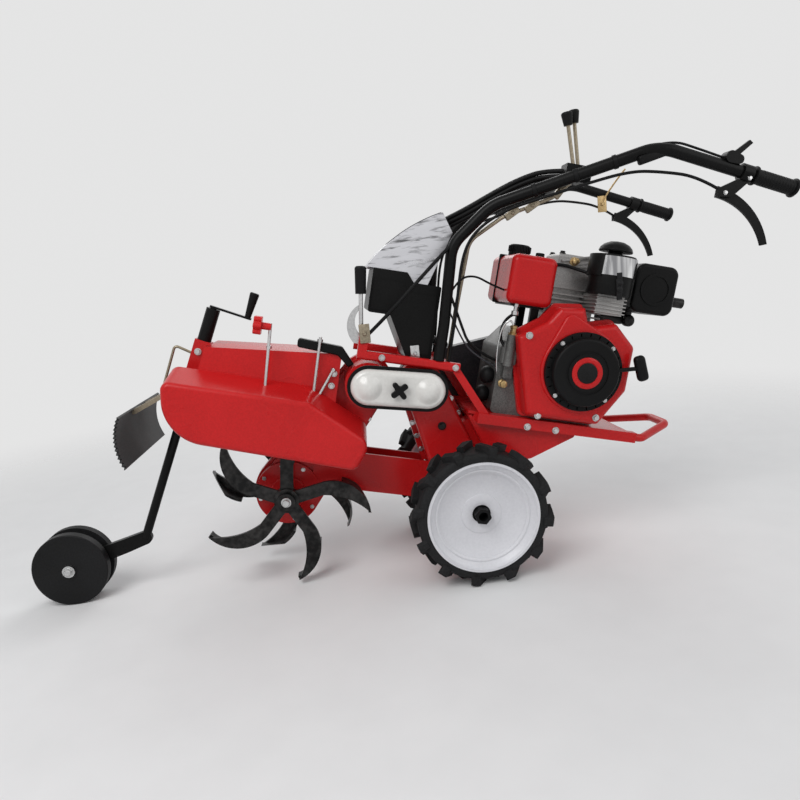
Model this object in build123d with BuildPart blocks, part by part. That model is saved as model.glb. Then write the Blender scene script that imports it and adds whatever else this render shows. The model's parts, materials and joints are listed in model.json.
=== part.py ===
"""Walk-behind ditching machine: two driven wheels, a tine rotor under a hood, a depth column on twin gauge
wheels, a diesel engine on a platform and a long handlebar.

Every piece is drawn with the engine platform level and the wheel axle at the origin: X runs from the tine
end to the handles, Y from the near side to the far side, Z up.  At the end each piece is pitched about the
axle until both pairs of wheels meet the ground, then moved so the whole stands on its bottom centre.
"""
import math
import os

from build123d import *

os.makedirs("parts", exist_ok=True)

# Driven wheels
TYRE_R = 200
TYRE_W = 100
TRACK_OUT = 298
LUG_H = 17
LUGS = 12
TYRE_WALL = 25
RIM_R = TYRE_R - LUG_H - TYRE_WALL
HUB_AF = 41
SHAFT_R = 17.5
RUN_FIT = 0.3

# Stations seen from the near side, as (x, z)
CRANK = (235, 428)
INPUT = (-150, 300)
COVER_L = (-356, 301)
COVER_R = (-190, 312)
ROTOR = (-543, -67)
GAUGE = (-1156, -384)
COLUMN_TOP = (-826, 440)
COLUMN_FOOT = (-956, -274)

# Cases
CASE_Y = 95
CASE_FLANGE = 16
CASE_TOP_R = 56
CASE_AXLE_R = 82
TOOL_Y = 42
TOOL_TOP_R = 70
TOOL_HUB_R = 90
SIDE_Y = 160
COVER_T = 25
COVER_END_R = 51

# Frame
BAR_Y = 145
BAR = 26
BAR_Z = 386
RAIL = 30
RAIL_Z = 251
RAIL_END = 454
DECK_TOP = RAIL_Z + RAIL / 2
PLATE = 8

# Hood
HOOD_Y = 230
BOX_Y = 112
SHEET = 4
DECK_RISE = 31
ROLL = 14

# Rotor
TINES = 5
TINE_Y = 120
TINE_T = 10
HOOK = (108, -97)
HOOK_R = 116
WING = 50
WING_TIP = 12
ROTOR_SHAFT_R = 22

# Gauge wheels and column
GAUGE_R = 110
GAUGE_IN = 17
GAUGE_OUT = 45
COLUMN_R = 13
COLUMN_TUBE_R = 20
SOCKET = 46
COLUMN_TRAVEL = 120

# Engine
BLOCK_NEAR = -118
BLOCK_FAR = 105
BLOCK_TOP = 520
SHROUD_Y = 200
RECOIL_R = 112
GUARD_NEAR = 163
GUARD_FAR = 220

# Handlebar
TUBE_R = 16
HANDLE_Y = 322
GRIP_R = 19
GRIP_L = 125

# The pitch at which the machine parks: the slope of the line between the two axles, less the slope
# taken up by the difference between the two wheel radii.
AXLE_SPAN = math.hypot(*GAUGE)
PITCH = math.degrees(math.atan2(-GAUGE[1], -GAUGE[0]) - math.asin((TYRE_R - GAUGE_R) / AXLE_SPAN))

pieces = {}


def side(y):
    """Sketch plane seen from the near side at a given y: local axes are X and Z, extrusions go to -Y."""
    return Plane.XZ.offset(-y)


def slab(y_near, y_far, draw):
    """Solid between two y planes whose outline is drawn by a function in X and Z."""
    with BuildPart() as made:
        with BuildSketch(side(y_far)):
            draw()
        extrude(amount=y_far - y_near)
    return made.part


def hull_of(*discs):
    """Rounded outline wrapped round discs given as ((x, z), radius)."""
    for centre, radius in discs:
        with Locations(centre):
            Circle(radius)
    make_hull()


def outline(*points):
    """Closed outline through points in X and Z."""
    Polygon(*points, align=None)


def far_twin(part):
    """The same piece mirrored to the far side."""
    return mirror(part, about=Plane.XZ)


def pair(name, part):
    """File a piece for the near side and its mirror for the far side."""
    pieces[name + "_near"] = part
    pieces[name + "_far"] = far_twin(part)


def both(name, part):
    """File a piece and its mirror as one node of two solids."""
    pieces[name] = part + far_twin(part)


def panel(y_near, y_far, corners, inset=0, slope=0):
    """Solid between two y planes, outlined by (x, z, radius) corners; with a slope it climbs to the far side."""
    depth = y_far - y_near
    with BuildPart() as made:
        with BuildSketch(side(y_near)) as face:
            Polygon(*[(x, z) for x, z, radius in corners], align=None)
            for x, z, radius in corners:
                fillet(face.vertices().sort_by_distance((x, z))[0], radius)
            if inset:
                offset(amount=-inset, mode=Mode.REPLACE)
        extrude(amount=depth * math.hypot(1, slope), dir=(0, 1, slope))
    return made.part


def tube_along(points, radii, radius, bore=0):
    """Round bar or tube along straight runs joined by arcs."""
    with BuildPart() as made:
        with BuildLine() as path:
            if len(points) > 2:
                FilletPolyline(*points, radius=radii)
            else:
                Line(*points)
        with BuildSketch(Plane(origin=path.line @ 0, z_dir=path.line % 0)):
            Circle(radius)
            if bore:
                Circle(bore, mode=Mode.SUBTRACT)
        sweep()
    return made.part


# Driven wheels: lugged tyre, dished disc and hexagonal hub with its shaft.
near_mid = -(TRACK_OUT - TYRE_W / 2)
with BuildPart() as tyre:
    for row, skew in ((-1, 35), (1, -35)):
        seats = []
        for i in range(LUGS):
            a = math.radians(PITCH - 90 + (i + row / 4) * 360 / LUGS)
            out = (math.cos(a), 0, math.sin(a))
            r = TYRE_R - LUG_H / 2
            seats.append(Plane((r * out[0], near_mid + row * TYRE_W / 4, r * out[2]), x_dir=out, z_dir=(0, 1, 0)))
        with Locations(*seats):
            Box(LUG_H * 2.6, 22, TYRE_W * 0.62, rotation=(skew, 0, 0))
    with BuildSketch(Plane.YZ) as rounding:
        with Locations((near_mid, (RIM_R + TYRE_R) / 2)):
            Rectangle(TYRE_W, TYRE_R - RIM_R)
        fillet(rounding.vertices().group_by(Axis.Y)[-1], LUG_H * 0.47)
    revolve(axis=Axis.Y, mode=Mode.INTERSECT)
    with BuildSketch(Plane.YZ) as carcass:
        with Locations((near_mid, (RIM_R + TYRE_R - LUG_H) / 2)):
            Rectangle(TYRE_W - 8, TYRE_R - LUG_H - RIM_R)
        fillet(carcass.vertices().group_by(Axis.Y)[-1], TYRE_WALL * 0.56)
    revolve(axis=Axis.Y)
pair("tyre", tyre.solids().sort_by(SortBy.VOLUME)[-1])

seat_r = RIM_R - RUN_FIT
dish = 40
with BuildPart() as rim:
    with BuildSketch(Plane.YZ):
        with BuildLine():
            y0 = -TRACK_OUT
            Polyline((y0 + dish + 4, 26), (y0 + dish + 4, 70))
            ThreePointArc((y0 + dish + 4, 70), (y0 + 30, 124), (y0 + 12, seat_r - 7))
            Polyline((y0 + 12, seat_r - 7), (y0 + TYRE_W - 4, seat_r - 7), (y0 + TYRE_W - 4, seat_r),
                     (y0 + 2, seat_r), (y0 + 2, seat_r - 7), (y0 + 8, seat_r - 11))
            ThreePointArc((y0 + 8, seat_r - 11), (y0 + 26, 121), (y0 + dish, 68))
            Polyline((y0 + dish, 68), (y0 + dish, 26), (y0 + dish + 4, 26))
        make_face()
    revolve(axis=Axis.Y)
pair("wheel_disc", rim.part)

hub_in = 152
with BuildPart() as hub:
    with BuildSketch(side(-hub_in)):
        RegularPolygon(HUB_AF / 2, 6, major_radius=False)
    extrude(amount=TRACK_OUT - 12 - hub_in)
    with BuildSketch(side(-(TRACK_OUT - dish - 14))):
        Circle(48)
    extrude(amount=10)
    with BuildSketch(side(-(TRACK_OUT - 12))):
        Circle(13)
    extrude(amount=-40, mode=Mode.SUBTRACT)
    with BuildSketch(side(-(CASE_Y + 8))):
        Circle(SHAFT_R)
    extrude(amount=hub_in - CASE_Y - 8)
pair("wheel_hub", hub.part)

# Axle housings: fixed sleeves the wheel shafts run in.
with BuildPart() as axle_housing:
    with BuildSketch(side(-CASE_Y)):
        Circle(54)
    extrude(amount=10)
    with BuildSketch(side(-CASE_Y - 10)):
        Circle(38)
    extrude(amount=hub_in - CASE_Y - 17)
    with BuildSketch(side(-CASE_Y)):
        Circle(SHAFT_R + RUN_FIT)
    extrude(amount=100, mode=Mode.SUBTRACT)
both("axle_housings", axle_housing.part)

# Gearbox: a slanted case from the drive cover down to the axle, with a split flange and an input boss.
with BuildPart() as gearbox:
    add(slab(-CASE_Y, CASE_Y, lambda: hull_of((COVER_R, CASE_TOP_R), ((0, 0), CASE_AXLE_R))))
    fillet(gearbox.edges().filter_by(GeomType.LINE, reverse=True).group_by(Axis.Y)[0], 12)
    fillet(gearbox.edges().filter_by(GeomType.LINE, reverse=True).group_by(Axis.Y)[-1], 12)
    add(slab(-CASE_FLANGE, CASE_FLANGE, lambda: hull_of((COVER_R, CASE_TOP_R + 12), ((0, 0), CASE_AXLE_R + 18))))
    with BuildSketch(side(GUARD_NEAR)):
        with Locations(INPUT):
            Circle(28)
    extrude(amount=GUARD_NEAR - CASE_Y)
pieces["gearbox_case"] = gearbox.part
top_z = COVER_R[1] + CASE_TOP_R + 12

# Tool case: drives the rotor from the cover's tool end.
with BuildPart() as tool_case:
    add(slab(-TOOL_Y, TOOL_Y, lambda: hull_of((COVER_L, TOOL_TOP_R), (ROTOR, TOOL_HUB_R))))
    add(slab(-14, 14, lambda: hull_of((COVER_L, TOOL_TOP_R + 8), (ROTOR, TOOL_HUB_R + 12))))
    for reach, radius in ((10, TOOL_HUB_R + 6), (16, 52)):
        add(slab(-TOOL_Y - reach, TOOL_Y + reach, lambda: hull_of((ROTOR, radius))))
    fillet(tool_case.edges().group_by(Axis.Y)[0], 4)
    fillet(tool_case.edges().group_by(Axis.Y)[-1], 4)
    with BuildSketch(side(TOOL_Y + 20)):
        with Locations(ROTOR):
            Circle(ROTOR_SHAFT_R + RUN_FIT)
    extrude(amount=2 * TOOL_Y + 40, mode=Mode.SUBTRACT)
pieces["tool_case"] = tool_case.part

# Side case under the cover, standing on both cases, then gasket, cover and its cross knob.
with BuildPart() as side_case:
    add(slab(-SIDE_Y, -SIDE_Y + 12, lambda: hull_of((COVER_L, CASE_TOP_R), (COVER_R, CASE_TOP_R))))
    for station, foot, radius in ((COVER_L, TOOL_Y, 66), (COVER_R, CASE_Y, 44)):
        with BuildSketch(side(-foot)):
            with Locations(station):
                Circle(radius)
        extrude(amount=SIDE_Y - 12 - foot)
pieces["side_case"] = side_case.part

gasket_y = SIDE_Y + 5
gasket = slab(-gasket_y, -SIDE_Y, lambda: hull_of((COVER_L, COVER_END_R + 2), (COVER_R, COVER_END_R + 2)))
pieces["cover_gasket"] = gasket

with BuildPart() as cover:
    add(slab(-gasket_y - COVER_T, -gasket_y, lambda: hull_of((COVER_L, COVER_END_R), (COVER_R, COVER_END_R))))
    fillet(cover.edges().filter_by(GeomType.LINE, reverse=True).group_by(Axis.Y)[0], 16)
    for station in (COVER_L, COVER_R):
        with BuildSketch(side(-gasket_y - COVER_T)):
            with Locations(station):
                Circle(20)
        extrude(amount=8, taper=25)
pieces["drive_cover"] = cover.part

knob_x = (COVER_L[0] + COVER_R[0]) / 2
knob_z = (COVER_L[1] + COVER_R[1]) / 2
with BuildPart() as cover_knob:
    with BuildSketch(side(-gasket_y - COVER_T)):
        with Locations((knob_x, knob_z)):
            Circle(12)
    extrude(amount=10)
    with BuildSketch(side(-gasket_y - COVER_T - 10)):
        for turn in (45, 135):
            with Locations(Location((knob_x, knob_z, 0), (0, 0, turn))):
                SlotOverall(54, 15)
    extrude(amount=14)
pieces["cover_knob"] = cover_knob.part

# Lower link: a channel from the tool case to the gearbox, cut to fit the gearbox.
with BuildPart() as lower_link:
    for y in (-TOOL_Y - PLATE, TOOL_Y):
        add(slab(y, y + PLATE, lambda: outline((-478, -20), (-440, -36), (-60, -36), (-60, 80), (-478, 80))))
    add(slab(-TOOL_Y, TOOL_Y, lambda: outline((-400, -36), (-60, -36), (-60, -28), (-400, -28))))
    add(tool_case.part, mode=Mode.SUBTRACT)
    add(gearbox.part, mode=Mode.SUBTRACT)
pieces["lower_link"] = lower_link.solids().sort_by(SortBy.VOLUME)[-1]

# Top frame: two bars on a plate over the gearbox, a lever post, and struts down to the rails.
bar_in = BAR_Y - BAR / 2
with BuildPart() as top_frame:
    for y in (-BAR_Y, BAR_Y):
        with Locations((-252.5, y, BAR_Z)):
            Box(295, BAR, BAR)
    fillet(top_frame.edges().filter_by(Axis.X), 8)
    with Locations((-185, 0, top_z)):
        Box(150, 2 * bar_in, PLATE, align=(Align.CENTER, Align.CENTER, Align.MIN))
    with Locations((-387, -BAR_Y, BAR_Z)):
        Box(BAR, BAR, 66, align=(Align.CENTER, Align.CENTER, Align.MIN))
    for y in (-BAR_Y, BAR_Y):
        add(slab(y - 6, y + 6, lambda: outline((-134, BAR_Z), (-106, BAR_Z), (2, DECK_TOP), (-28, DECK_TOP))))
pieces["top_frame"] = top_frame.part

# Engine platform: two rails, a plate and gussets, on a slanted back plate bracketed to the gearbox's flank.
run = math.hypot(*COVER_R)
tilt = math.atan2(COVER_R[1], -COVER_R[0]) - math.asin((CASE_AXLE_R - CASE_TOP_R) / run)
flank_out = (math.sin(tilt), math.cos(tilt))
flank_down = (math.cos(tilt), -math.sin(tilt))


def flank(z, out):
    """(x, z) a distance out from the gearbox's engine-side flank, level with a height on it."""
    top = [c + CASE_TOP_R * n for c, n in zip(COVER_R, flank_out)]
    s = (z - top[1]) / flank_down[1]
    return tuple(t + s * d + out * n for t, d, n in zip(top, flank_down, flank_out))


with BuildPart() as platform:
    for s in (-1, 1):
        with Locations(((RAIL_END - 30) / 2, s * BAR_Y, RAIL_Z)):
            Box(RAIL_END + 30, RAIL, RAIL)
        y = s * (BAR_Y - RAIL / 2)
        add(slab(y - PLATE / 2, y + PLATE / 2,
                 lambda: outline((-36, DECK_TOP - 4), (285, DECK_TOP - 4), (274, 226), (157, 147), (60, 112),
                                 flank(140, 24), flank(226, 24))))
        y = s * 55
        add(slab(y - 25, y + 25,
                 lambda: outline(flank(220, 0), flank(220, 26), flank(140, 26), flank(140, 0))))
    with Locations((-55, 0, DECK_TOP)):
        Box(490, 2 * BAR_Y - 20, PLATE, align=(Align.MIN, Align.CENTER, Align.MAX))
    add(slab(-BAR_Y + RAIL / 2, BAR_Y - RAIL / 2,
             lambda: outline(flank(238, 20), flank(238, 30), flank(134, 30), flank(134, 20))))
pieces["engine_platform"] = platform.part

# Bumper loop in front of the platform.
bumper = tube_along([(RAIL_END, -BAR_Y, RAIL_Z), (RAIL_END + 24, -BAR_Y, RAIL_Z), (596, -53, 292), (596, 53, 292),
                     (RAIL_END + 24, BAR_Y, RAIL_Z), (RAIL_END, BAR_Y, RAIL_Z)], [30, 34, 34, 30], 12)
pieces["bumper"] = bumper

# Engine block with its feet and shaft boss.
with BuildPart() as block:
    add(slab(BLOCK_NEAR, BLOCK_FAR,
             lambda: outline((12, DECK_TOP), (330, DECK_TOP), (345, 430), (312, BLOCK_TOP), (60, BLOCK_TOP),
                             (12, 460))))
    fillet(block.edges().filter_by(Axis.Y), 14)
    with BuildSketch(side(GUARD_NEAR)):
        with Locations(CRANK):
            Circle(46)
    extrude(amount=GUARD_NEAR - BLOCK_FAR)
pieces["engine_block"] = block.part

# Cylinder: a finned barrel under a head and a rocker cover.
with BuildPart() as cylinder:
    with Locations((225, 8, BLOCK_TOP)):
        Box(130, 120, 135, align=(Align.CENTER, Align.CENTER, Align.MIN))
    for i in range(8):
        with Locations((225, 8, BLOCK_TOP + 20 + 14 * i)):
            Box(170, 160, 5)
    with Locations((225, 8, BLOCK_TOP + 135)):
        Box(150, 150, 62, align=(Align.CENTER, Align.CENTER, Align.MIN))
    with Locations((222, 8, BLOCK_TOP + 197)):
        Box(128, 120, 40, align=(Align.CENTER, Align.CENTER, Align.MIN))
    fillet(cylinder.edges().group_by(Axis.Z)[-1], 10)
    with Locations((290, -60, 596)):
        Box(80, 110, 54, align=(Align.CENTER, Align.MAX, Align.MIN))
pieces["cylinder"] = cylinder.part

# Fan shroud: a flange on the block, a rounded hollow body and the raised volute that leads up the duct neck.
shroud_corners = [(26, 505, 16), (94, DECK_TOP + 4, 18), (322, DECK_TOP + 4, 22), (392, 385, 24), (392, 520, 30),
                  (318, 586, 24), (244, 566, 10), (224, 616, 12), (140, 606, 12), (108, 560, 14)]
flange_y = BLOCK_NEAR - 14
body_y = -SHROUD_Y + 8
with BuildPart() as shroud:
    add(panel(body_y, flange_y, shroud_corners, inset=10))
    fillet(shroud.edges().group_by(Axis.Y)[0], 18)
    add(panel(flange_y, BLOCK_NEAR, shroud_corners))
    with BuildPart() as volute:
        add(slab(-SHROUD_Y, body_y, lambda: hull_of((CRANK, RECOIL_R + 8), ((184, 556), 26))))
        fillet(volute.edges().group_by(Axis.Y)[0], 6)
    add(panel(body_y + 6, BLOCK_NEAR, shroud_corners, inset=24), mode=Mode.SUBTRACT)
pieces["fan_shroud"] = shroud.part

# Recoil starter and its pull handle.
with BuildPart() as recoil:
    for y, radius, depth in ((SHROUD_Y, RECOIL_R, 14), (SHROUD_Y + 14, RECOIL_R - 16, 24)):
        with BuildSketch(side(-y)):
            with Locations(CRANK):
                Circle(radius)
        extrude(amount=depth)
    fillet(recoil.edges().group_by(Axis.Y)[0], 8)
    with BuildSketch(side(-SHROUD_Y - 14)):
        with Locations(CRANK):
            with PolarLocations(RECOIL_R - 8, 24):
                SlotOverall(10, 4)
    extrude(amount=-7, mode=Mode.SUBTRACT)
    with BuildSketch(side(-SHROUD_Y - 38)):
        with Locations(CRANK):
            Circle(62)
            Circle(54, mode=Mode.SUBTRACT)
    extrude(amount=-3, mode=Mode.SUBTRACT)
pieces["recoil_starter"] = recoil.part

with BuildPart() as pull_handle:
    with Locations((394, -SHROUD_Y - 24, 471)):
        Box(24, 26, 68)
    fillet(pull_handle.edges().filter_by(Axis.Z), 8)
    with BuildSketch(Plane.YZ.offset(CRANK[0] + RECOIL_R - 36)):
        with Locations((-SHROUD_Y - 24, 466)):
            Circle(7)
    extrude(amount=390 - CRANK[0] - RECOIL_R + 36)
    add(recoil.part, mode=Mode.SUBTRACT)
pieces["pull_handle"] = pull_handle.solids().sort_by(SortBy.VOLUME)[-1]

# Fuel tank on its bracket, with a filler hole under the cap.
TANK = ((-2, 131), (-150, 106), (589, 729))
tank_mid = [(a + b) / 2 for a, b in TANK]
tank_size = [b - a for a, b in TANK]
with BuildPart() as tank:
    with Locations(tuple(tank_mid)):
        Box(*tank_size)
    fillet(tank.edges(), 20)
    with BuildPart(mode=Mode.SUBTRACT) as inside:
        with Locations(tuple(tank_mid)):
            Box(*[size - 6 for size in tank_size])
        fillet(inside.edges(), 17)
    with Locations((40, -40, TANK[2][1])):
        Cylinder(20, 20, mode=Mode.SUBTRACT)
pieces["fuel_tank"] = tank.part

with BuildPart() as tank_cap:
    with Locations((40, -40, TANK[2][1])):
        Cylinder(31, 32, align=(Align.CENTER, Align.CENTER, Align.MIN))
    fillet(tank_cap.edges().group_by(Axis.Z)[-1], 8)
with BuildPart() as tank_plug:
    with Locations((98, -60, TANK[2][1])):
        Cylinder(13, 16, align=(Align.CENTER, Align.CENTER, Align.MIN))
    fillet(tank_plug.edges().group_by(Axis.Z)[-1], 3)
pieces["tank_cap"] = tank_cap.part + tank_plug.part

with BuildPart() as tank_bracket:
    with Locations((70, -22, TANK[2][0])):
        Box(100, 180, 6, align=(Align.CENTER, Align.CENTER, Align.MAX))
    for y in (-90, 46):
        with Locations((100, y, BLOCK_TOP)):
            Box(24, 14, TANK[2][0] - BLOCK_TOP, align=(Align.CENTER, Align.CENTER, Align.MIN))
pieces["tank_bracket"] = tank_bracket.part

# Air cleaner: body with mushroom cap, and a clamp band round it.
AIR = (286, -150)
AIR_R = 62
stack = (Align.CENTER, Align.CENTER, Align.MIN)
with BuildPart() as air_cleaner:
    with Locations((*AIR, 650)):
        Cylinder(AIR_R, 54, align=stack)
    fillet(air_cleaner.edges().group_by(Axis.Z)[0], 8)
    with Locations((*AIR, 704)):
        Cylinder(AIR_R - 2, 52, align=stack)
    with Locations((*AIR, 756)):
        Cylinder(34, 14, align=stack)
    with Locations((*AIR, 770)):
        Cylinder(56, 32, align=stack)
    fillet(air_cleaner.edges().group_by(Axis.Z)[-1], 22)
pieces["air_cleaner"] = air_cleaner.part

with BuildPart() as air_band:
    with Locations((*AIR, 704)):
        Cylinder(AIR_R + 3, 52, align=stack)
        Cylinder(AIR_R - 2 + RUN_FIT, 52, align=stack, mode=Mode.SUBTRACT)
pieces["air_cleaner_band"] = air_band.part

# Exhaust: elbow from the cylinder, hollow muffler box and tail stub.
MUFFLER = ((362, 490), (-150, 0), (616, 757))
muffler_mid = [(a + b) / 2 for a, b in MUFFLER]
muffler_size = [b - a for a, b in MUFFLER]
TAIL = (-60, 664)
TAIL_R = 15
TAIL_L = 72
with BuildPart() as muffler:
    with Locations(tuple(muffler_mid)):
        Box(*muffler_size)
    fillet(muffler.edges().filter_by(Axis.Y), 26)
    fillet(muffler.edges().group_by(Axis.Y)[0], 10)
    with BuildSketch(side(MUFFLER[1][0])):
        with Locations((muffler_mid[0], muffler_mid[2])):
            Circle(46)
            Circle(38, mode=Mode.SUBTRACT)
    extrude(amount=3)
    with BuildPart(mode=Mode.SUBTRACT) as chamber:
        with Locations(tuple(muffler_mid)):
            Box(*[size - 6 for size in muffler_size])
        fillet(chamber.edges().filter_by(Axis.Y), 23)
    with BuildSketch(Plane.YZ.offset(MUFFLER[0][1])):
        with Locations(TAIL):
            Circle(TAIL_R - 3)
    extrude(amount=-20, mode=Mode.SUBTRACT)
pieces["muffler"] = muffler.part

with BuildPart() as tail_pipe:
    with BuildSketch(Plane.YZ.offset(MUFFLER[0][1])):
        with Locations(TAIL):
            Circle(TAIL_R)
            Circle(TAIL_R - 3, mode=Mode.SUBTRACT)
    extrude(amount=TAIL_L)
elbow = tube_along([(310, -40, 590), (404, -40, 590), (404, -40, 616)], [22], 15)
pieces["exhaust_pipes"] = tail_pipe.part + elbow

# Fuel pump group beside the shroud: flange, pump barrel with its cap, filter bowl and a bracket.
with BuildPart() as pump:
    for x, z, wide, deep, tall in ((36, 448, 42, 26, 66), (40, 404, 26, 18, 60), (46, 330, 40, 14, 84)):
        with Locations((x, BLOCK_NEAR, z)):
            Box(wide, deep, tall, align=(Align.CENTER, Align.MAX, Align.CENTER))
    fillet(pump.edges().group_by(Axis.Y)[0], 3)
    for x, y, low, high, radius in ((34, 24, 410, 500, 15), (42, 22, 318, 372, 19), (42, 22, 312, 320, 8)):
        with Locations((x, BLOCK_NEAR - y, low)):
            Cylinder(radius, high - low, align=(Align.CENTER, Align.CENTER, Align.MIN))
    add(shroud.part, mode=Mode.SUBTRACT)
pieces["engine_block"] += pump.solids().sort_by(SortBy.VOLUME)[-1]

# Belt guard on the far side.
with BuildPart() as belt_guard:
    add(slab(GUARD_NEAR, GUARD_FAR, lambda: hull_of((CRANK, 110), (INPUT, 88))))
    fillet(belt_guard.edges().filter_by(GeomType.LINE, reverse=True).group_by(Axis.Y)[-1], 10)
pieces["belt_guard"] = belt_guard.part

# Console: black pedestal box between the tubes and the silver cowl above it.
BOX_TOP = 630
BOX_STEP = 604
with BuildPart() as console:
    add(panel(-115, 115, [(-385, 506, 8), (-385, BOX_TOP, 3), (-288, BOX_TOP, 3), (-266, BOX_STEP, 6), (-186, BOX_STEP, 6),
                          (-186, top_z + PLATE, 1), (-256, top_z + PLATE, 1), (-320, 506, 10)]))
    for y in (-119, 115):
        add(slab(y, y + 4, lambda: outline((-379, 600), (-379, 516), (-324, 516), (-266, 408), (-196, 408),
                                           (-196, 576), (-280, 576), (-296, 600))))
pieces["console_box"] = console.part

with BuildPart() as cowl:
    for half, t, mode in ((108, 0, Mode.ADD), (105, 3, Mode.SUBTRACT)):
        with BuildSketch(side(half)):
            with BuildLine():
                ThreePointArc((-405 + t, BOX_TOP - 2 * t), (-322 + t, 734 - t), (-214 + t, 808 - t))
                Polyline((-214 + t, 808 - t), (-178 + 9 * t, 757), (-226 + 9 * t, BOX_STEP), (-266 - t, BOX_STEP),
                         (-288, BOX_TOP - 2 * t), (-405 + t, BOX_TOP - 2 * t))
            make_face()
        extrude(amount=2 * half, mode=mode)
    add(console.part, mode=Mode.SUBTRACT)
pieces["console_cowl"] = cowl.solids().sort_by(SortBy.VOLUME)[-1]

# Handlebar: one bent tube a side, cross tubes, grips and clutch levers.
bar_top = BAR_Z + BAR / 2
handle_end = (660, -HANDLE_Y, 984)
handle_top = (275, -HANDLE_Y + 4, 1026)
handle_path = [(-168, -BAR_Y, bar_top), (-168, -BAR_Y, 500), (-184, -165, 720), (-95, -178, 838), handle_top,
               handle_end]
handle_bends = [200, 90, 120, 130]
pair("handle_tube", tube_along(handle_path, handle_bends, TUBE_R))

with BuildPart() as cross_tubes:
    for x, z, half, radius in ((-160, 446, BAR_Y, 12), (-95, 833, 178, 12), (178, 976, 280, 11)):
        with BuildSketch(side(half)):
            with Locations((x, z)):
                Circle(radius)
        extrude(amount=2 * half)
    sleeve = tube_along(handle_path, handle_bends, TUBE_R + RUN_FIT)
    add(sleeve, mode=Mode.SUBTRACT)
    add(far_twin(sleeve), mode=Mode.SUBTRACT)
pieces["handle_cross_tubes"] = Part(cross_tubes.solids().sort_by(SortBy.VOLUME)[-3:])

grip_axis = (Vector(handle_end) - Vector(handle_top)).normalized()


def on_handle(distance):
    """Point on the near handle a distance back from its end."""
    return Vector(handle_end) - grip_axis * distance


with BuildPart() as grip:
    with BuildSketch(Plane(origin=on_handle(GRIP_L), z_dir=grip_axis)):
        Circle(GRIP_R)
        Circle(TUBE_R + RUN_FIT, mode=Mode.SUBTRACT)
    extrude(amount=GRIP_L)
both("grips", grip.part)

with BuildPart() as clamp:
    with BuildSketch(Plane(origin=on_handle(GRIP_L + 34), z_dir=grip_axis)):
        Circle(TUBE_R + 6)
        Circle(TUBE_R + RUN_FIT, mode=Mode.SUBTRACT)
    extrude(amount=28)
    add(slab(-HANDLE_Y - 5, -HANDLE_Y + 5, lambda: outline((496, 981), (526, 978), (490, 936), (452, 930), (448, 950))))
    add(pieces["handle_tube_near"], mode=Mode.SUBTRACT)
both("lever_clamps", clamp.part)

with BuildPart() as lever:
    with BuildSketch(side(-HANDLE_Y + 13)):
        with BuildLine():
            ThreePointArc((452, 958), (548, 924), (620, 836))
            Polyline((620, 836), (604, 830))
            ThreePointArc((604, 830), (538, 902), (452, 930))
            Polyline((452, 930), (452, 958))
        make_face()
    extrude(amount=8)
both("clutch_levers", lever.part)

# Small controls: throttle, shift levers, tool lever.
with BuildPart() as throttle:
    add(slab(-HANDLE_Y - 14, -HANDLE_Y + 14, lambda: hull_of(((462, 1030), 15), ((484, 1027), 12))))
    add(slab(-HANDLE_Y - 4, -HANDLE_Y + 4, lambda: outline((462, 1036), (478, 1030), (516, 1074), (506, 1080))))
    add(pieces["handle_tube_near"], mode=Mode.SUBTRACT)
pieces["lever_clamps"] += throttle.part

SHIFT_Y = -215
with BuildPart() as shift_gate:
    with Locations((112, SHIFT_Y + 12, 948)):
        Box(70, 48, 44)
    add(pieces["handle_tube_near"], mode=Mode.SUBTRACT)
pieces["handle_cross_tubes"] += shift_gate.solids().sort_by(SortBy.VOLUME)[-1]

shift_rods = []
shift_knobs = []
for y, foot, tip in ((SHIFT_Y, (96, 970), (64, 1064)), (SHIFT_Y + 26, (120, 970), (88, 1080))):
    shift_rods.append(tube_along([(foot[0], y, foot[1]), (tip[0], y, tip[1])], None, 5))
    with BuildPart() as knob:
        tilt = (tip[0] - foot[0], 0, tip[1] - foot[1])
        with BuildSketch(Plane(origin=(tip[0], y, tip[1]), z_dir=tilt)):
            Circle(11)
        extrude(amount=34, taper=-8)
        fillet(knob.faces().sort_by(Axis.Z)[-1].edges(), 6)
    shift_knobs.append(knob.part)
for inward in (0, 16):
    shift_rods.append(tube_along([(100, SHIFT_Y + inward / 2, 926), (60, -206 + inward, 880), (-60, -176 + inward, 812),
                                  (-132, -134 + inward, 740), (-132, -106 + inward, 560),
                                  (-132, -106 + inward, top_z + PLATE)], [40, 60, 60, 60], 5))
with BuildPart() as rod_set:
    for rod in shift_rods:
        add(rod)
    add(shift_gate.part, mode=Mode.SUBTRACT)
pieces["shift_rods"] = Part(rod_set.solids().sort_by(SortBy.VOLUME)[-4:])
pieces["shift_knobs"] = shift_knobs[0] + shift_knobs[1]

LEVER_Y = -BAR_Y
tool_rod = tube_along([(-397, LEVER_Y, BAR_Z + 67), (-411.98, LEVER_Y, 551.9)], None, 6)
with BuildPart() as quadrant:
    with BuildSketch(side(LEVER_Y + BAR / 2 + 6)):
        with BuildLine():
            ThreePointArc((-414, 520), (-438, 464), (-412, 414))
            Polyline((-412, 414), (-376, 414), (-376, 440), (-396, 440))
            ThreePointArc((-396, 440), (-416, 468), (-402, 516))
            Line((-402, 516), (-414, 520))
        make_face()
    extrude(amount=6)
pieces["tool_lever"] = tool_rod + quadrant.part
with BuildPart() as tool_grip:
    with BuildSketch(Plane(origin=(-412, LEVER_Y, 552), z_dir=(-15, 0, 100))):
        Circle(15)
    extrude(amount=76, taper=-1)
    fillet(tool_grip.faces().sort_by(Axis.Z)[-1].edges(), 8)
pieces["tool_lever_grip"] = tool_grip.part

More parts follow.
